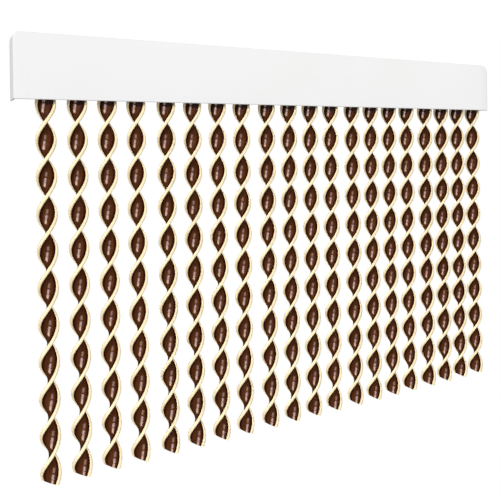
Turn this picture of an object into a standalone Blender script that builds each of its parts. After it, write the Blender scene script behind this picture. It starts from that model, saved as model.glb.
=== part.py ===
"""Spiral strip door curtain.

A white pelmet rail holds twenty twisted plastic strips in five groups of four.
Metres, +Z up. X runs along the pelmet, -Y faces the room, and the plane Y = 0 is
the wall. The origin is the middle of the face that lies on the wall.
"""

import math

import bmesh
import bpy
from mathutils import Matrix

# Pelmet rail, over its two end caps
PELMET_LENGTH = 0.900
PELMET_HEIGHT = 0.090
PELMET_DEPTH = 0.040
WALL = 0.002
RIM_RADIUS = 0.003
RIM_STEPS = 3

# Track inside the pelmet, in which the hanger bars lie
TRACK_HEIGHT = 0.032
SLOT_WIDTH = 0.006

# End caps
CAP_LENGTH = 0.018
LEFT_CORNER_RADIUS = 0.008
RIGHT_CORNER_RADIUS = 0.015
CORNER_STEPS = 5

# Strips and the way in which they are grouped
GROUPS = 5
STRIPS_PER_GROUP = 4
STRIP_PITCH = 0.0427
GROUP_GAP = 0.004
ROW_SHIFT = 0.0065
STRIP_WIDTH = 0.028
STRIP_THICKNESS = 0.0045
STRIP_SETBACK = 0.017
STRIP_DROP = 0.526
HALF_TWIST = 0.0509
TWIST_STEPS = 8
FIRST_FLAT = 0.0043

# The strips hang turned to one point in the room, from where their twists line up
FACED_X = -0.547
FACED_DISTANCE = 0.861

# Hanger bars, one to a group
BAR_LENGTH = 0.160
BAR_WIDTH = 0.014
BAR_THICKNESS = 0.004

# Clearance between neighbouring pieces, and how far a cutter passes a face
GAP = 0.0003
CUT_PAST = 0.002

# Heights and planes that follow from the sizes above
TOP_Z = TRACK_HEIGHT / 2
BOTTOM_Z = TOP_Z - PELMET_HEIGHT
TRACK_Z = TOP_Z - TRACK_HEIGHT
FRONT_Y = -PELMET_DEPTH
STRIP_Y = FRONT_Y + STRIP_SETBACK
BAR_Z = TRACK_Z + WALL + GAP
ROOT_Z = BAR_Z + BAR_THICKNESS / 2
SLOT_Z = TRACK_Z - SLOT_WIDTH / 4
TWIST_Z = BOTTOM_Z - FIRST_FLAT
STRIP_END_Z = BOTTOM_Z - STRIP_DROP
GROUP_PITCH = STRIPS_PER_GROUP * STRIP_PITCH + GROUP_GAP
SAME_PLACE = 0.00001

WHITE = (0.86, 0.86, 0.85, 1.0)
BROWN = (0.095, 0.034, 0.016, 1.0)


def clear_scene():
    """Removes whatever the scene holds."""
    for old in list(bpy.data.objects):
        bpy.data.objects.remove(old, do_unlink=True)


def new_collection(name):
    """A collection linked to the scene."""
    made = bpy.data.collections.new(name)
    bpy.context.scene.collection.children.link(made)
    return made


def plastic(name, color, roughness):
    """A plain plastic material, not metallic."""
    made = bpy.data.materials.new(name)
    made.use_nodes = True
    shader = made.node_tree.nodes["Principled BSDF"]
    shader.inputs["Base Color"].default_value = color
    shader.inputs["Roughness"].default_value = roughness
    shader.inputs["Metallic"].default_value = 0.0
    return made


def object_from(bm, name, collection, material):
    """Turns a bmesh into an object in a collection."""
    mesh = bpy.data.meshes.new(name)
    bm.to_mesh(mesh)
    bm.free()
    mesh.materials.append(material)
    made = bpy.data.objects.new(name, mesh)
    collection.objects.link(made)
    return made


def as_cutter(tool):
    """Marks an object as one that only shapes another."""
    tool.hide_render = True
    tool.display_type = "WIRE"
    return tool


def combine(body, tool, operation):
    """Adds an exact boolean of the tool to the body."""
    step = body.modifiers.new(operation.title(), "BOOLEAN")
    step.operation = operation
    step.solver = "EXACT"
    step.object = as_cutter(tool)


def box(low, high):
    """A bmesh box between two corners."""
    bm = bmesh.new()
    bmesh.ops.create_cube(bm, size=1.0)
    size = [b - a for a, b in zip(low, high)]
    middle = [(a + b) / 2 for a, b in zip(low, high)]
    bmesh.ops.scale(bm, vec=size, verts=bm.verts)
    bmesh.ops.translate(bm, vec=middle, verts=bm.verts)
    return bm


def arc(middle_y, middle_z, radius, start, end, steps):
    """Points along an arc in the profile's plane, angles in degrees."""
    points = []
    for step in range(steps + 1):
        turn = math.radians(start + (end - start) * step / steps)
        points.append((middle_y + radius * math.cos(turn), middle_z + radius * math.sin(turn)))
    return points


def profile_outline():
    """The rail's section as (y, z): fascia, top, wall face and the slotted track."""
    inner_y = FRONT_Y + WALL
    shelf_z = TRACK_Z + WALL
    rim_y = FRONT_Y + RIM_RADIUS
    rim_z = TOP_Z - RIM_RADIUS
    wall_face = [(0.0, TRACK_Z), (0.0, TOP_Z)]
    outer_rim = arc(rim_y, rim_z, RIM_RADIUS, 90, 180, RIM_STEPS)
    fascia = [(FRONT_Y, BOTTOM_Z), (inner_y, BOTTOM_Z), (inner_y, TRACK_Z)]
    front_lip = [(STRIP_Y - SLOT_WIDTH / 2, TRACK_Z), (STRIP_Y - SLOT_WIDTH / 2, shelf_z)]
    track_room = [(inner_y, shelf_z), (inner_y, TOP_Z - WALL), (-WALL, TOP_Z - WALL), (-WALL, shelf_z)]
    rear_lip = [(STRIP_Y + SLOT_WIDTH / 2, shelf_z), (STRIP_Y + SLOT_WIDTH / 2, TRACK_Z)]
    return wall_face + outer_rim + fascia + front_lip + track_room + rear_lip


def make_rail(collection, material):
    """The extruded profile: a flat outline in the YZ plane, drawn out along X."""
    outline = profile_outline()
    curve = bpy.data.curves.new("pelmet_rail", "CURVE")
    curve.dimensions = "2D"
    curve.fill_mode = "BOTH"
    curve.extrude = PELMET_LENGTH / 2 - CAP_LENGTH - GAP
    spline = curve.splines.new("POLY")
    spline.points.add(len(outline) - 1)
    for point, (y, z) in zip(spline.points, outline):
        point.co = (y, z, 0.0, 1.0)
    spline.use_cyclic_u = True
    curve.materials.append(material)
    rail = bpy.data.objects.new("pelmet_rail", curve)
    collection.objects.link(rail)
    # The curve's own X, Y and Z become the world's Y, Z and X.
    rail.matrix_world = Matrix(((0, 0, 1, 0), (1, 0, 0, 0), (0, 1, 0, 0), (0, 0, 0, 1)))
    return rail


def rounded_block(low, high, corner_radius, rim_radius):
    """A box whose +X top corner is round in the front view, with a rounded front rim."""
    bm = box(low, high)
    corner = [
        edge
        for edge in bm.edges
        if all(
            abs(v.co.x - high[0]) < SAME_PLACE and abs(v.co.z - high[2]) < SAME_PLACE
            for v in edge.verts
        )
    ]
    bmesh.ops.bevel(
        bm,
        geom=corner,
        offset=corner_radius,
        offset_type="OFFSET",
        segments=CORNER_STEPS,
        profile=0.5,
        affect="EDGES",
    )
    rim = []
    for edge in bm.edges:
        in_front = all(abs(v.co.y - low[1]) < SAME_PLACE for v in edge.verts)
        at_joint = all(abs(v.co.x - low[0]) < SAME_PLACE for v in edge.verts)
        at_foot = all(abs(v.co.z - low[2]) < SAME_PLACE for v in edge.verts)
        if in_front and not at_joint and not at_foot:
            rim.append(edge)
    bmesh.ops.bevel(
        bm,
        geom=rim,
        offset=rim_radius,
        offset_type="OFFSET",
        segments=RIM_STEPS,
        profile=0.5,
        affect="EDGES",
    )
    return bm


def mirror_in_x(bm):
    """Turns a right-hand piece into a left-hand one."""
    bmesh.ops.scale(bm, vec=(-1.0, 1.0, 1.0), verts=bm.verts)
    bmesh.ops.reverse_faces(bm, faces=bm.faces)


def make_end_cap(name, side, corner_radius, collection, cutters, material):
    """A moulded cap, open below, towards the rail and behind the strips. side is -1 for left, 1 for right."""
    end_x = PELMET_LENGTH / 2
    joint_x = end_x - CAP_LENGTH
    shell = rounded_block(
        (joint_x, FRONT_Y, BOTTOM_Z),
        (end_x, 0.0, TOP_Z),
        corner_radius,
        RIM_RADIUS,
    )
    room = rounded_block(
        (joint_x - CUT_PAST, FRONT_Y + WALL, BOTTOM_Z - CUT_PAST),
        (end_x - WALL, -WALL, TOP_Z - WALL),
        corner_radius - WALL,
        RIM_RADIUS - WALL,
    )
    open_back = box(
        (joint_x - CUT_PAST, FRONT_Y + 2 * WALL, BOTTOM_Z - CUT_PAST),
        (end_x - WALL, CUT_PAST, TRACK_Z),
    )
    if side < 0:
        mirror_in_x(shell)
        mirror_in_x(room)
        mirror_in_x(open_back)
    cap = object_from(shell, name, collection, material)
    combine(cap, object_from(room, name + "_room", cutters, material), "DIFFERENCE")
    combine(cap, object_from(open_back, name + "_open_back", cutters, material), "DIFFERENCE")
    return cap


def twist_angle(z, turn):
    """How far a strip has turned about its own axis at a height, in radians.

    It is flat in the slot, makes half a turn and its own turn behind the fascia,
    and twists evenly from there to its foot.
    """
    if z > TWIST_Z:
        return (math.pi + turn) * (z - TWIST_Z) / (SLOT_Z - TWIST_Z) - turn
    return math.pi * (z - TWIST_Z) / HALF_TWIST - turn


def add_strip(bm, x):
    """One strip: flat from its root down through the slot, then twisted to its foot."""
    turn = math.atan2(x - FACED_X, FACED_DISTANCE)
    half_width = STRIP_WIDTH / 2
    half_thickness = STRIP_THICKNESS / 2
    strip = box((-half_width, -half_thickness, STRIP_END_Z), (half_width, half_thickness, SLOT_Z))
    steps = round((SLOT_Z - STRIP_END_Z) / HALF_TWIST * TWIST_STEPS)
    upright = [e for e in strip.edges if abs(e.verts[0].co.z - e.verts[1].co.z) > SAME_PLACE]
    bmesh.ops.subdivide_edges(strip, edges=upright, cuts=steps - 1, use_grid_fill=True)
    for vert in strip.verts:
        vert.co.rotate(Matrix.Rotation(twist_angle(vert.co.z, turn), 3, "Z"))
    top = [f for f in strip.faces if all(abs(v.co.z - SLOT_Z) < SAME_PLACE for v in f.verts)]
    drawn = bmesh.ops.extrude_face_region(strip, geom=top)
    lifted = [item for item in drawn["geom"] if isinstance(item, bmesh.types.BMVert)]
    bmesh.ops.translate(strip, vec=(0.0, 0.0, ROOT_Z - SLOT_Z), verts=lifted)
    bmesh.ops.delete(strip, geom=[f for f in top if f.is_valid], context="FACES")
    bmesh.ops.translate(strip, vec=(x, STRIP_Y, 0.0), verts=strip.verts)
    mesh = bpy.data.meshes.new("strip")
    strip.to_mesh(mesh)
    strip.free()
    bm.from_mesh(mesh)
    bpy.data.meshes.remove(mesh)


def make_strip_group(number, collection, cutters, material):
    """Four strips whose roots are fused into the hanger bar that carries them."""
    name = f"strip_group_{number + 1}"
    middle_x = (number - (GROUPS - 1) / 2) * GROUP_PITCH + ROW_SHIFT
    bar = box(
        (middle_x - BAR_LENGTH / 2, STRIP_Y - BAR_WIDTH / 2, BAR_Z),
        (middle_x + BAR_LENGTH / 2, STRIP_Y + BAR_WIDTH / 2, BAR_Z + BAR_THICKNESS),
    )
    strips = bmesh.new()
    for place in range(STRIPS_PER_GROUP):
        add_strip(strips, middle_x + (place - (STRIPS_PER_GROUP - 1) / 2) * STRIP_PITCH)
    group = object_from(bar, name, collection, material)
    combine(group, object_from(strips, name + "_strips", cutters, material), "UNION")
    return group


def build():
    """Builds the whole curtain."""
    clear_scene()
    parts = new_collection("spiral_strip_door_curtain")
    cutters = new_collection("cutters")
    white = plastic("pelmet_white", color=WHITE, roughness=0.38)
    brown = plastic("strip_brown", color=BROWN, roughness=0.22)
    make_rail(parts, white)
    make_end_cap("end_cap_left", -1, LEFT_CORNER_RADIUS, parts, cutters, white)
    make_end_cap("end_cap_right", 1, RIGHT_CORNER_RADIUS, parts, cutters, white)
    for number in range(GROUPS):
        make_strip_group(number, parts, cutters, brown)


build()
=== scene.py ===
"""Looks of the spiral strip door curtain: a white pelmet rail with twenty twisted plastic strips.

Metres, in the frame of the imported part: X along the pelmet, -Y towards the room, +Z up,
the wall at Y = 0.
"""

import math

import bmesh
import bpy
from mathutils import Matrix, Vector


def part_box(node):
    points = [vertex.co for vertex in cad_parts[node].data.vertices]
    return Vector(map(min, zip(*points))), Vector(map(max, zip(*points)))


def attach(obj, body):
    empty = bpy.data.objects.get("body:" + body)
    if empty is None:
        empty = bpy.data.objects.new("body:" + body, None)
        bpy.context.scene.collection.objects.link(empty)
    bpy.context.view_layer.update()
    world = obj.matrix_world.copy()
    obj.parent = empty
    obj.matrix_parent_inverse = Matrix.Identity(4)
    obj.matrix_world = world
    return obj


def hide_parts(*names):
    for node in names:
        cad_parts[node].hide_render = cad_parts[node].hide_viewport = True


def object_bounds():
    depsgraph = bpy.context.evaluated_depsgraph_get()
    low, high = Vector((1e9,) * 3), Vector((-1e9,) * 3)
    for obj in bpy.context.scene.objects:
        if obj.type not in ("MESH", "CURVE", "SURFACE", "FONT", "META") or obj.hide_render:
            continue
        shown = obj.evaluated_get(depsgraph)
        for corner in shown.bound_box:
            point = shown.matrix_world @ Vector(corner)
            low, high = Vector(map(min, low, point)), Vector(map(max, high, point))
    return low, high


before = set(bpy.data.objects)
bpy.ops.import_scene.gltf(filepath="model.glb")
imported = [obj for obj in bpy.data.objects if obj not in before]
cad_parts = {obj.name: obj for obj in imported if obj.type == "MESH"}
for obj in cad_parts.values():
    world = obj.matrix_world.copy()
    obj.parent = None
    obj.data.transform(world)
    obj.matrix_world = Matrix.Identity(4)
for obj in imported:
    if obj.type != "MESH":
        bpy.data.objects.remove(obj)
cad_low, cad_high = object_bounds()

# Pelmet rail
# One profile of satin white plastic, extruded in one length: a tall fascia, a top, a flat back that is
# screwed to the wall, and a slotted track between them for the hanger bars. Its die marks run along X.
RAIL_LOW, RAIL_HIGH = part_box("pelmet_rail")
WALL = 0.002
TRACK_HEIGHT = 0.032
STRIP_SETBACK = 0.017
SLOT_WIDTH = 0.006
RIM_RADIUS = 0.003
LIP_RADIUS = 0.0015
INNER_RADIUS = 0.0004
ARC_STEPS = 8
CREASE = 35
TOP_Z = RAIL_HIGH.z
BOTTOM_Z = RAIL_LOW.z
TRACK_Z = TOP_Z - TRACK_HEIGHT
FRONT_Y = RAIL_LOW.y
STRIP_Y = FRONT_Y + STRIP_SETBACK
# How far the rail reaches into the 0.3 mm gap at each cap. The left joint closes to a hairline.
LEFT_SEAM_COVER = 0.00028
RIGHT_SEAM_COVER = 0.00005
SATIN_WHITE = (0.86, 0.86, 0.862, 1.0)
WARM_WHITE = (0.845, 0.842, 0.832, 1.0)
SATIN_ROUGHNESS = 0.36
CLOUD_SCALE = 7.0
GRAIN_SCALE = 900.0
MARK_SCALE = 420.0
DIE_MARKS = (0.006, 1.0, 1.0)


class Wire:
    """One socket in a tree of shader nodes. Sums and products of wires add the Math nodes for them."""

    def __init__(self, tree, socket=None):
        self.tree = tree
        self.socket = socket

    def node(self, kind, settings, sockets, output=0):
        """Adds a node: its settings first, then a value or a wire for each of its sockets."""
        made = self.tree.nodes.new(kind)
        for name, value in settings.items():
            setattr(made, name, value)
        for name, value in sockets.items():
            if isinstance(value, Wire):
                self.tree.links.new(value.socket, made.inputs[name])
            else:
                made.inputs[name].default_value = value
        return Wire(self.tree, made.outputs[output])

    def maths(self, operation, first, second=0.0):
        """A Math node on one or two values, in the tree of this wire."""
        return self.node("ShaderNodeMath", {"operation": operation}, {0: first, 1: second})

    def __add__(self, other):
        return self.maths("ADD", self, other)

    def __sub__(self, other):
        return self.maths("SUBTRACT", self, other)

    def __rsub__(self, other):
        return self.maths("SUBTRACT", other, self)

    def __mul__(self, other):
        return self.maths("MULTIPLY", self, other)

    def __abs__(self):
        return self.maths("ABSOLUTE", self)

    __radd__ = __add__
    __rmul__ = __mul__

    def or_higher(self, other):
        """The higher of two wires."""
        return self.maths("MAXIMUM", self, other)

    def stretched(self, by):
        """The same coordinates, with X, Y and Z each multiplied by its own number."""
        return self.node("ShaderNodeVectorMath", {"operation": "MULTIPLY"}, {0: self, 1: by})

    def noise(self, scale, detail=2.0):
        """Noise from 0 to 1 at these coordinates."""
        return self.node("ShaderNodeTexNoise", {}, {"Vector": self, "Scale": scale, "Detail": detail})

    def ramp(self, start, end):
        """A soft step from 0 at start to 1 at end."""
        limits = {"Value": self, "From Min": start, "From Max": end}
        return self.node("ShaderNodeMapRange", {"interpolation_type": "SMOOTHSTEP"}, limits)

    def blend(self, first, second):
        """A colour between two colours: the first where this wire is 0, the second where it is 1.

        Sockets 0, 6 and 7 of a Mix node are its share and its two colours, and output 2 is the colour.
        """
        return self.node("ShaderNodeMix", {"data_type": "RGBA"}, {0: self, 6: first, 7: second}, output=2)

    def bump(self, strength, depth):
        """A normal that leans with the height on this wire."""
        return self.node("ShaderNodeBump", {}, {"Height": self, "Strength": strength, "Distance": depth})


def new_finish(name, coordinates):
    """A material, its shader, and a wire with the coordinates that its pattern follows."""
    made = bpy.data.materials.new(name)
    made.use_nodes = True
    shader = made.node_tree.nodes["Principled BSDF"]
    start = Wire(made.node_tree).node("ShaderNodeTexCoord", {}, {}, output=coordinates)
    return made, shader, start


def feed(shader, **wires):
    """Leads wires to a shader's sockets. An underscore stands for a space in a socket's name."""
    for name, wire in wires.items():
        wire.tree.links.new(wire.socket, shader.inputs[name.replace("_", " ")])


def satin_plastic(name, mark_stretch):
    """White satin plastic with faint clouds, a fine grain and small marks.

    mark_stretch multiplies the marks' coordinates, so a small first number draws them out along X.
    """
    made, shader, place = new_finish(name, "Object")
    clouds = place.noise(CLOUD_SCALE, detail=3.0)
    grain = place.noise(GRAIN_SCALE)
    marks = place.stretched(mark_stretch).noise(MARK_SCALE)
    feed(shader, Base_Color=clouds.ramp(start=0.3, end=0.8).blend(SATIN_WHITE, WARM_WHITE))
    feed(shader, Roughness=SATIN_ROUGHNESS + 0.1 * clouds + 0.06 * grain)
    feed(shader, Normal=(0.7 * marks + 0.3 * grain).bump(strength=0.08, depth=0.0004))
    shader.inputs["Specular IOR Level"].default_value = 0.4
    return made


def rounded_outline(corners):
    """A closed outline in the YZ plane from corners (y, z, radius)."""
    outline = []
    for index, (y, z, radius) in enumerate(corners):
        here = Vector((y, z))
        before = (Vector(corners[index - 1][:2]) - here).normalized()
        after = (Vector(corners[(index + 1) % len(corners)][:2]) - here).normalized()
        half = before.angle(after) / 2
        middle = here + (before + after).normalized() * (radius / math.sin(half))
        start = here + before * (radius / math.tan(half)) - middle
        end = here + after * (radius / math.tan(half)) - middle
        first = math.atan2(start.y, start.x)
        turn = (math.atan2(end.y, end.x) - first + math.pi) % (2 * math.pi) - math.pi
        for step in range(ARC_STEPS + 1):
            angle = first + turn * step / ARC_STEPS
            outline.append((middle.x + radius * math.cos(angle), middle.y + radius * math.sin(angle)))
    return outline


def add_loft(bm, rings, around, along):
    """Skins rings of points and closes both ends. around and along give the pattern's coordinates."""
    pattern = bm.loops.layers.uv.verify()
    count = len(rings[0])
    rows = [[bm.verts.new(point) for point in ring] for ring in rings]
    for row in range(len(rows) - 1):
        for spot in range(count):
            beside = (spot + 1) % count
            corners = (
                (row, spot, spot),
                (row, beside, spot + 1),
                (row + 1, beside, spot + 1),
                (row + 1, spot, spot),
            )
            face = bm.faces.new([rows[r][s] for r, s, _ in corners])
            for loop, (r, _, a) in zip(face.loops, corners):
                loop[pattern].uv = (around[a], along[r])
    for row, end in ((0, rows[0]), (-1, rows[-1])):
        face = bm.faces.new(end)
        for spot, loop in enumerate(face.loops):
            loop[pattern].uv = (around[spot], along[row])


def smooth_piece(name, mesh, crease):
    """An object with a mesh, shaded smooth but for edges sharper than crease, in degrees."""
    mesh.shade_smooth()
    mesh.set_sharp_from_angle(angle=math.radians(crease))
    made = bpy.data.objects.new(name, mesh)
    bpy.context.scene.collection.objects.link(made)
    return made


def piece_from(bm, name, finish, crease):
    """A smooth piece from a bmesh, in its finish."""
    bmesh.ops.recalc_face_normals(bm, faces=bm.faces)
    mesh = bpy.data.meshes.new(name)
    bm.to_mesh(mesh)
    bm.free()
    mesh.materials.append(finish)
    return smooth_piece(name, mesh, crease)


def fit(piece, node):
    """The piece stands for a CAD node, which it hides, and stays with the body."""
    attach(piece, "root")
    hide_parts(node)


def rail_section():
    """The rail's closed section as corners (y, z, radius)."""
    inner_y = FRONT_Y + WALL
    shelf_z = TRACK_Z + WALL
    lip_y = STRIP_Y - SLOT_WIDTH / 2
    rear_y = STRIP_Y + SLOT_WIDTH / 2
    shell = [
        (0.0, TRACK_Z, INNER_RADIUS),
        (0.0, TOP_Z, INNER_RADIUS),
        (FRONT_Y, TOP_Z, RIM_RADIUS),
        (FRONT_Y, BOTTOM_Z, LIP_RADIUS),
        (inner_y, BOTTOM_Z, INNER_RADIUS),
        (inner_y, TRACK_Z, INNER_RADIUS),
    ]
    track = [
        (lip_y, TRACK_Z, INNER_RADIUS),
        (lip_y, shelf_z, INNER_RADIUS),
        (inner_y, shelf_z, INNER_RADIUS),
        (inner_y, TOP_Z - WALL, INNER_RADIUS),
        (-WALL, TOP_Z - WALL, INNER_RADIUS),
        (-WALL, shelf_z, INNER_RADIUS),
        (rear_y, shelf_z, INNER_RADIUS),
        (rear_y, TRACK_Z, INNER_RADIUS),
    ]
    return rounded_outline(shell + track)


rail_mesh = bmesh.new()
outline = rail_section()
rail_ends = (RAIL_LOW.x - LEFT_SEAM_COVER, RAIL_HIGH.x + RIGHT_SEAM_COVER)
rail_rings = [[(x, y, z) for y, z in outline] for x in rail_ends]
no_pattern_around = [0.0] * (len(outline) + 1)
add_loft(rail_mesh, rail_rings, no_pattern_around, rail_ends)
extruded_white = satin_plastic("extruded_white", DIE_MARKS)
rail = piece_from(rail_mesh, "rail_profile", extruded_white, CREASE)
fit(rail, "pelmet_rail")

# End caps
# Two moulded caps of the same white plastic close the open ends of the profile. Each has a round top
# corner and a face that falls back a little towards its end, and is pressed on against the rail's end.
CAP_LENGTH = 0.018
LEFT_CORNER_RADIUS = 0.008
RIGHT_CORNER_RADIUS = 0.015
CORNER_STEPS = 12
LEFT_CROWN = 0.0002
RIGHT_CROWN = 0.0020
CROWN_CUTS = 8
CUT_PAST = 0.002
CLOSE = 0.00001
MOULD_MARKS = (1.5, 1.0, 1.0)


def plain_block(low, high):
    """A box between two corners."""
    bm = bmesh.new()
    bmesh.ops.create_cube(bm, size=1.0)
    bmesh.ops.scale(bm, vec=[b - a for a, b in zip(low, high)], verts=bm.verts)
    bmesh.ops.translate(bm, vec=[(a + b) / 2 for a, b in zip(low, high)], verts=bm.verts)
    return bm


def lies_at(edge, axis, level):
    """Whether a whole edge lies at one level of an axis."""
    return all(abs(getattr(vert.co, axis) - level) < CLOSE for vert in edge.verts)


def round_off(bm, edges, radius, steps):
    """Rounds some edges of a solid."""
    bmesh.ops.bevel(
        bm, geom=edges, offset=radius, offset_type="OFFSET",
        segments=steps, profile=0.5, affect="EDGES",
    )


def block(low, high, corner_radius, rim_radius):
    """A box whose +X top corner is round in the front view, with a rounded front rim."""
    bm = plain_block(low, high)
    corner = [e for e in bm.edges if lies_at(e, "x", high[0]) and lies_at(e, "z", high[2])]
    round_off(bm, corner, corner_radius, CORNER_STEPS)
    front = [e for e in bm.edges if lies_at(e, "y", low[1])]
    rim = [e for e in front if not lies_at(e, "x", low[0]) and not lies_at(e, "z", low[2])]
    round_off(bm, rim, rim_radius, ARC_STEPS)
    return bm


def crown_front(bm, joint_x, crown):
    """Lets the front of a cap fall back towards its end."""
    for cut in range(1, CROWN_CUTS):
        bmesh.ops.bisect_plane(
            bm, geom=bm.verts[:] + bm.edges[:] + bm.faces[:],
            plane_co=(joint_x + CAP_LENGTH * cut / CROWN_CUTS, 0, 0), plane_no=(1, 0, 0),
        )
    for vert in bm.verts:
        out = (vert.co.x - joint_x) / CAP_LENGTH
        forward = vert.co.y / FRONT_Y
        vert.co.y += crown * out ** 2 * forward ** 2


def end_cap(name, side, corner_radius, crown, finish):
    """A cap, open below, towards the rail and behind the strips. side is -1 for the left one."""
    end_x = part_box("end_cap_right")[1].x
    joint_x = end_x - CAP_LENGTH
    shell = block((joint_x, FRONT_Y, BOTTOM_Z), (end_x, 0.0, TOP_Z), corner_radius, RIM_RADIUS)
    bottom = [e for e in shell.edges if lies_at(e, "z", BOTTOM_Z)]
    lip = [e for e in bottom if not lies_at(e, "x", joint_x) and not lies_at(e, "y", 0.0)]
    round_off(shell, lip, LIP_RADIUS, ARC_STEPS)
    crown_front(shell, joint_x, crown)
    room = block(
        (joint_x - CUT_PAST, FRONT_Y + WALL, BOTTOM_Z - CUT_PAST),
        (end_x - WALL, -WALL, TOP_Z - WALL),
        corner_radius - WALL,
        RIM_RADIUS - WALL,
    )
    open_back = plain_block(
        (joint_x - CUT_PAST, FRONT_Y + 2 * WALL, BOTTOM_Z - CUT_PAST),
        (end_x - WALL, CUT_PAST, TRACK_Z),
    )
    for bm in (shell, room, open_back):
        bmesh.ops.scale(bm, vec=(side, 1.0, 1.0), verts=bm.verts)
    whole = piece_from(shell, name + "_whole", finish, CREASE)
    cutters = [piece_from(bm, name + "_cutter", finish, CREASE) for bm in (room, open_back)]
    for cutter in cutters:
        hollow = whole.modifiers.new("Hollow", "BOOLEAN")
        hollow.operation = "DIFFERENCE"
        hollow.object = cutter
    cut = bpy.data.meshes.new_from_object(whole.evaluated_get(bpy.context.evaluated_depsgraph_get()))
    made = smooth_piece(name, cut, CREASE)
    for spare in [whole] + cutters:
        bpy.data.objects.remove(spare)
    return made


moulded_white = satin_plastic("moulded_white", MOULD_MARKS)
left_cap = end_cap("moulded_cap_left", -1, LEFT_CORNER_RADIUS, LEFT_CROWN, moulded_white)
right_cap = end_cap("moulded_cap_right", 1, RIGHT_CORNER_RADIUS, RIGHT_CROWN, moulded_white)
fit(left_cap, "end_cap_left")
fit(right_cap, "end_cap_right")

# Hanger bars
# Five slim bars of the strips' own brown plastic lie in the track, hidden behind the fascia. The flat
# roots of four strips are fused into each.
GROUPS = 5
STRIPS_PER_GROUP = 4
BAR_WIDTH = 0.014
BAR_THICKNESS = 0.004
BAR_EDGE = 0.0008
GAP = 0.0003
BAR_Z = TRACK_Z + WALL + GAP
BROWN = (0.065, 0.0185, 0.0055, 1.0)
# Near-black brown, painted as shade at the webs' edges and as the pelmet's shadow on the strips.
PAINTED_SHADE_BROWN = (0.026, 0.0040, 0.0006, 1.0)
RED_BROWN = (0.089, 0.027, 0.009, 1.0)
BROWN_ROUGHNESS = 0.14
BROWN_PATCHES = (160.0, 34.0, 1.0)
BROWN_DRAW_LINES = (260.0, 9.0, 1.0)
EDGE_START = 0.45
EDGE_END = 0.90
NO_PAINTED_EDGE_SHADE = 1.0
# Painted shadow of the pelmet on the strips: near black from SHADE_DEPTH under its bottom edge upwards,
# fading in over SHADE_FADE below that.
SHADE_DEPTH = 0.0045
SHADE_FADE = 0.0025
BAR_PATTERN_STEP = 0.0005


def brown_plastic(name, web_edge):
    """Glossy chocolate brown plastic, redder in patches, with painted shade: near black at a web's edges,
    where it meets its beads, and a near black painted shadow from just under the pelmet up into its track.

    web_edge is how far from its middle a web meets its beads.
    """
    made, shader, place = new_finish(name, "UV")
    across = place.node("ShaderNodeSeparateXYZ", {}, {"Vector": place}, output="X")
    # Painted shade: towards its beads the web darkens to near black, as if in their shadow.
    edge = abs(across).ramp(web_edge * EDGE_START, web_edge * EDGE_END)
    spot = place.node("ShaderNodeTexCoord", {}, {}, output="Object")
    height = spot.node("ShaderNodeSeparateXYZ", {}, {"Vector": spot}, output="Z")
    # Painted shadow: near black under the pelmet and in its track, above SHADE_DEPTH below its bottom
    # edge.
    root = height.ramp(BOTTOM_Z - SHADE_DEPTH - SHADE_FADE, BOTTOM_Z - SHADE_DEPTH)
    patches = place.stretched(BROWN_PATCHES).noise(1.0, detail=3.0)
    draw_lines = place.stretched(BROWN_DRAW_LINES).noise(1.0)
    middle = patches.ramp(start=0.35, end=0.7).blend(BROWN, RED_BROWN)
    feed(shader, Base_Color=edge.or_higher(root).blend(middle, PAINTED_SHADE_BROWN))
    feed(shader, Roughness=BROWN_ROUGHNESS + 0.06 * patches)
    feed(shader, Normal=draw_lines.bump(strength=0.02, depth=0.0002))
    shader.inputs["Specular IOR Level"].default_value = 0.3
    return made


def bar_outline():
    """The bar's end view as (y, z), with its long edges eased."""
    low = (STRIP_Y - BAR_WIDTH / 2, BAR_Z)
    high = (STRIP_Y + BAR_WIDTH / 2, BAR_Z + BAR_THICKNESS)
    corners = [(low[0], low[1]), (low[0], high[1]), (high[0], high[1]), (high[0], low[1])]
    return rounded_outline([(y, z, BAR_EDGE) for y, z in corners])


strips = bpy.data.collections.new("strips")
groups = [bpy.data.collections.new(f"strips_{number + 1}") for number in range(GROUPS)]
bar_brown = brown_plastic("bar_brown", NO_PAINTED_EDGE_SHADE)
group_boxes = [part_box(f"strip_group_{number + 1}") for number in range(GROUPS)]
group_middles = [(group_low.x + group_high.x) / 2 for group_low, group_high in group_boxes]
for number, (group_low, group_high) in enumerate(group_boxes):
    bar_mesh = bmesh.new()
    bar_section = bar_outline()
    bar_ends = (group_low.x, group_high.x)
    bar_rings = [[(x, y, z) for y, z in bar_section] for x in bar_ends]
    bar_around = [BAR_PATTERN_STEP * spot for spot in range(len(bar_section) + 1)]
    add_loft(bar_mesh, bar_rings, bar_around, bar_ends)
    bar = piece_from(bar_mesh, f"hanger_bar_{number + 1}", bar_brown, CREASE)
    fit(bar, f"strip_group_{number + 1}")
    strips.objects.link(bar)
    groups[number].objects.link(bar)

# Strips
# Twenty tapes of soft plastic, extruded in two colours at once: a brown web, thickest in its middle,
# between two oval cream beads. Each is twisted hot to a right-hand spiral and cut square at its foot.
STRIP_PITCH = 0.0427
STRIP_WIDTH = 0.028
BEAD_HALF_WIDTH = 0.0022
BEAD_HALF_THICKNESS = 0.0025
BEAD_SIDES = 14
WEB_COLUMNS = 8
WEB_EDGE = 0.0014
WEB_MIDDLE = 0.0021
HALF_TWIST = 0.0509
STEP = 0.002
TAPE_CREASE = 40
FIRST_FLAT = 0.0043
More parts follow.
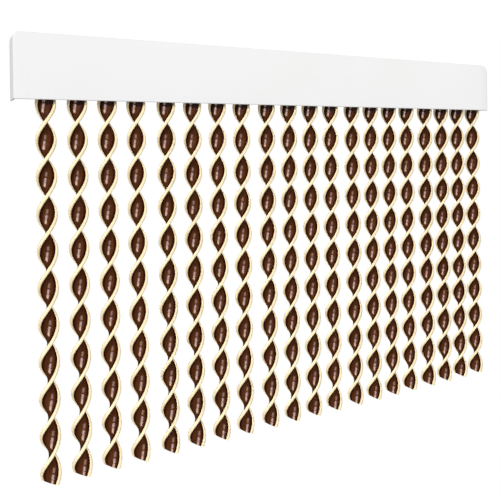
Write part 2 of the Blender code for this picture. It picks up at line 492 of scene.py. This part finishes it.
# The place that the strips' flats face: how far along X, and how far in front of the strips.
FACED_X = -0.547
FACED_DISTANCE = 0.861
BEAD_OFFSET = STRIP_WIDTH / 2 - BEAD_HALF_WIDTH
BEAD_LEAN = math.atan(math.pi * BEAD_OFFSET / HALF_TWIST)
ROOT_Z = BAR_Z + BAR_THICKNESS / 2
SLOT_Z = TRACK_Z - SLOT_WIDTH / 4
TWIST_Z = BOTTOM_Z - FIRST_FLAT
FOOT_Z = cad_low.z
CREAM = (0.92, 0.78, 0.50, 1.0)
DEEP_CREAM = (0.89, 0.72, 0.43, 1.0)
JOINT_TAN = (0.30, 0.15, 0.05, 1.0)
CREAM_ROUGHNESS = 0.28
CREAM_PATCHES = (3.0, 30.0, 1.0)
CREAM_DRAW_LINES = (30.0, 12.0, 1.0)


def cream_plastic():
    """Glossy cream plastic, a little deeper in patches, and tan where it joins the web."""
    made, shader, place = new_finish("bead_cream", "UV")
    around = place.node("ShaderNodeSeparateXYZ", {}, {"Vector": place}, output="X")
    joint = around.ramp(start=0.66, end=0.92)
    patches = place.stretched(CREAM_PATCHES).noise(1.0)
    draw_lines = place.stretched(CREAM_DRAW_LINES).noise(1.0)
    body = patches.ramp(start=0.4, end=0.75).blend(CREAM, DEEP_CREAM)
    feed(shader, Base_Color=joint.blend(body, JOINT_TAN))
    feed(shader, Roughness=CREAM_ROUGHNESS + 0.1 * patches)
    feed(shader, Normal=draw_lines.bump(strength=0.06, depth=0.0002))
    shader.inputs["Specular IOR Level"].default_value = 0.25
    return made


def twist_angle(z, turn):
    """How far a strip has turned about its own axis at a height, in radians."""
    if z > SLOT_Z:
        return math.pi
    if z > TWIST_Z:
        return (math.pi + turn) * (z - TWIST_Z) / (SLOT_Z - TWIST_Z) - turn
    return math.pi * (z - TWIST_Z) / HALF_TWIST - turn


def strip_heights():
    """Heights from the root down to the foot, STEP apart where the strip is twisted."""
    steps = round((SLOT_Z - FOOT_Z) / STEP)
    return [ROOT_Z] + [SLOT_Z + (FOOT_Z - SLOT_Z) * step / steps for step in range(steps + 1)]


def bead_section(side):
    """A bead's oval as (across, through), beginning where it meets the web."""
    points = []
    for spot in range(BEAD_SIDES):
        angle = 2 * math.pi * spot / BEAD_SIDES + math.pi
        across = BEAD_OFFSET + BEAD_HALF_WIDTH * math.cos(angle)
        points.append((side * across, BEAD_HALF_THICKNESS * math.sin(angle)))
    return points


def web_section():
    """The web's flat lens shape as (across, through), with both its edges inside the beads."""
    front = []
    for column in range(WEB_COLUMNS + 1):
        share = 2 * column / WEB_COLUMNS - 1
        front.append((share * BEAD_OFFSET, WEB_EDGE + (WEB_MIDDLE - WEB_EDGE) * (1 - share ** 2)))
    return front + [(across, -through) for across, through in reversed(front)]


def add_tape(bm, x, section, around):
    """Draws a section down a strip's axis, turning it as the strip twists.

    Each strip faces the same place, from where the crossings of all twenty line up. Where the tape
    leans, a level cut through it is thicker than a square one.
    """
    turn = math.atan2(x - FACED_X, FACED_DISTANCE)
    heights = strip_heights()
    rings = []
    for z in heights:
        cos = math.cos(twist_angle(z, turn))
        sin = math.sin(twist_angle(z, turn))
        thick = 1.0
        if z < SLOT_Z:
            thick = 1.0 / math.cos(BEAD_LEAN)
        level = [(a, t * thick) for a, t in section]
        rings.append([(x + a * cos - t * sin, STRIP_Y + a * sin + t * cos, z) for a, t in level])
    add_loft(bm, rings, around, [z + x for z in heights])


web_brown = brown_plastic("web_brown", web_edge=BEAD_OFFSET - BEAD_HALF_WIDTH)
bead_cream = cream_plastic()
web_around = [across for across, _ in web_section()]
web_around.append(web_around[0])
bead_around = [abs(2 * spot / BEAD_SIDES - 1) for spot in range(BEAD_SIDES + 1)]
for number, middle_x in enumerate(group_middles):
    webs = bmesh.new()
    beads = bmesh.new()
    for strip in range(STRIPS_PER_GROUP):
        strip_x = middle_x + (strip - (STRIPS_PER_GROUP - 1) / 2) * STRIP_PITCH
        add_tape(webs, strip_x, web_section(), web_around)
        for bead_side in (-1, 1):
            add_tape(beads, strip_x, bead_section(bead_side), bead_around)
    node = f"strip_group_{number + 1}"
    web_piece = piece_from(webs, f"strip_webs_{number + 1}", web_brown, TAPE_CREASE)
    bead_piece = piece_from(beads, f"strip_beads_{number + 1}", bead_cream, TAPE_CREASE)
    fit(web_piece, node)
    fit(bead_piece, node)
    for tape in (web_piece, bead_piece):
        # The webs would look grey with pale beads and a pale floor in their gloss, so neither shows there.
        tape.visible_glossy = False
        strips.objects.link(tape)
        groups[number].objects.link(tape)

# Floor
# A plain pale floor, at the height that a floor has under a door's head. It is stage, not part of the
# curtain: one flat disc, clouded a little.
FLOOR_Z = -2.0
FLOOR_RADIUS = 1.4
FLOOR_SIDES = 96
PALE = (0.90, 0.90, 0.89, 1.0)
PALE_CLOUD = (0.87, 0.87, 0.86, 1.0)

floor_mesh = bmesh.new()
bmesh.ops.create_circle(floor_mesh, cap_ends=True, radius=FLOOR_RADIUS, segments=FLOOR_SIDES)
floor_finish, floor_shader, floor_place = new_finish("pale_floor", "Object")
floor_clouds = floor_place.noise(1.2, detail=3.0)
feed(floor_shader, Base_Color=floor_clouds.blend(PALE, PALE_CLOUD), Roughness=0.6 + 0.1 * floor_clouds)
floor = piece_from(floor_mesh, "floor", floor_finish, CREASE)
floor.location.z = FLOOR_Z
floor.visible_glossy = False

# Studio light
# The camera sees a white room. Broad even lights stand in front of, beside and behind the pelmet and the
# strips. Each group of strips has one more, and three far panels, placed by where it sees the camera, so
# that all twenty strips show the same highlight. Strips don't shade one another from these.
LIT_Z = -0.35
CENTRE = Vector((0.0, STRIP_Y, LIT_Z))
WHITE_ROOM = (1.0, 1.0, 1.0, 1.0)
ROOM_LIGHT = (0.30, 0.30, 0.305, 1.0)
ROOM_IN_GLOSS = (0.03, 0.02, 0.015, 1.0)
PANEL_ROSE = (1.0, 0.80, 0.77)
PANEL_WARM = (1.0, 0.76, 0.61)
SUN_DISTANCE = 2.0
STRIP_LIGHT_SWING = 25.0
PANEL_DISTANCE = 4.0
PANEL_DROP = 8.0
PANEL_HEIGHT = 1.3

world = bpy.data.worlds.new("white_room")
world.use_nodes = True
sky = Wire(world.node_tree)
camera_ray = sky.node("ShaderNodeLightPath", {}, {}, output="Is Camera Ray")
glossy_ray = sky.node("ShaderNodeLightPath", {}, {}, output="Is Glossy Ray")
room = camera_ray.blend(glossy_ray.blend(ROOM_LIGHT, ROOM_IN_GLOSS), WHITE_ROOM)
world.node_tree.links.new(room.socket, world.node_tree.nodes["Background"].inputs["Color"])
bpy.context.scene.world = world
bpy.context.scene.view_settings.view_transform = "Standard"


def placed(name, data, spot, facing):
    """A light at a spot, facing another. The camera doesn't see it."""
    made = bpy.data.objects.new(name, data)
    made.location = spot
    made.rotation_euler = (facing - spot).to_track_quat("-Z", "Y").to_euler()
    made.visible_camera = False
    bpy.context.scene.collection.objects.link(made)
    return made


def broad_light(name, azimuth, elevation, strength, softness, lit):
    """An even light on some of the pieces. Angles in degrees, azimuth from -Y round to +X."""
    turn = math.radians(azimuth)
    rise = math.radians(elevation)
    data = bpy.data.lights.new(name, "SUN")
    data.energy = strength
    data.angle = math.radians(softness)
    towards = Vector((math.sin(turn) * math.cos(rise), -math.cos(turn) * math.cos(rise), math.sin(rise)))
    sun = placed(name, data, CENTRE + SUN_DISTANCE * towards, CENTRE)
    sun.visible_glossy = False
    sun.light_linking.receiver_collection = lit
    return sun


def camera_azimuth(number):
    """Where a group sees the camera, in degrees from -Y round to +X.

    The camera stands at the place that the strips face.
    """
    return -math.degrees(math.atan2(group_middles[number] - FACED_X, FACED_DISTANCE))


def panel(name, number, swing, wide, watts, tint):
    """A far panel that shows as a highlight on one group. Swing is its angle left of the camera."""
    middle = Vector((group_middles[number], STRIP_Y, LIT_Z))
    turn = math.radians(camera_azimuth(number) - swing)
    drop = math.radians(PANEL_DROP)
    towards = Vector((math.sin(turn) * math.cos(drop), -math.cos(turn) * math.cos(drop), -math.sin(drop)))
    data = bpy.data.lights.new(name, "AREA")
    data.shape = "RECTANGLE"
    data.size = wide
    data.size_y = PANEL_HEIGHT
    data.energy = watts
    data.color = tint
    made = placed(name, data, middle + PANEL_DISTANCE * towards, middle)
    made.visible_diffuse = False
    made.light_linking.receiver_collection = groups[number]
    made.light_linking.blocker_collection = pelmet


pelmet = bpy.data.collections.new("pelmet")
for piece in (rail, left_cap, right_cap, floor):
    pelmet.objects.link(piece)
broad_light("pelmet_light", azimuth=-18, elevation=20, strength=2.68, softness=30, lit=pelmet)
broad_light("strip_right_light", azimuth=45, elevation=10, strength=0.6, softness=30, lit=strips)
broad_light("pelmet_side_light", azimuth=-125, elevation=10, strength=1.75, softness=20, lit=pelmet)
broad_light("pelmet_back_light", azimuth=130, elevation=30, strength=1.4, softness=40, lit=pelmet)
broad_light("strip_back_light", azimuth=155, elevation=30, strength=1.6, softness=40, lit=strips)
for number in range(GROUPS):
    strip_light = broad_light(
        f"strip_light_{number + 1}", azimuth=camera_azimuth(number) - STRIP_LIGHT_SWING,
        elevation=20, strength=3.05, softness=30, lit=groups[number],
    )
    strip_light.light_linking.blocker_collection = pelmet
    panel(f"left_panel_{number + 1}", number, swing=66.0, wide=3.05, watts=276.0, tint=PANEL_WARM)
    panel(f"near_panel_{number + 1}", number, swing=21.7, wide=2.75, watts=209.0, tint=PANEL_ROSE)
    panel(f"right_panel_{number + 1}", number, swing=-33.0, wide=3.04, watts=109.0, tint=PANEL_WARM)

# Camera
# It stands at the left of the curtain, near the height of the strips' upper third, level but for a
# slight roll. The picture is shifted down from the lens's axis.
CAMERA_AT = (-0.5467, -0.8842, -0.1449)
LOOKS_RIGHT = 27.981
ROLL = -0.851
LENS = 43.167
SENSOR = 36.0
SHIFT_DOWN = 0.2021

lens = bpy.data.cameras.new("camera")
lens.lens = LENS
lens.sensor_width = SENSOR
lens.shift_y = -SHIFT_DOWN
camera = bpy.data.objects.new("camera", lens)
aim = Matrix.Rotation(math.radians(-LOOKS_RIGHT), 4, "Z") @ Matrix.Rotation(math.radians(90), 4, "X")
camera.matrix_world = Matrix.Translation(CAMERA_AT) @ aim @ Matrix.Rotation(math.radians(ROLL), 4, "Z")
bpy.context.scene.collection.objects.link(camera)
bpy.context.scene.camera = camera
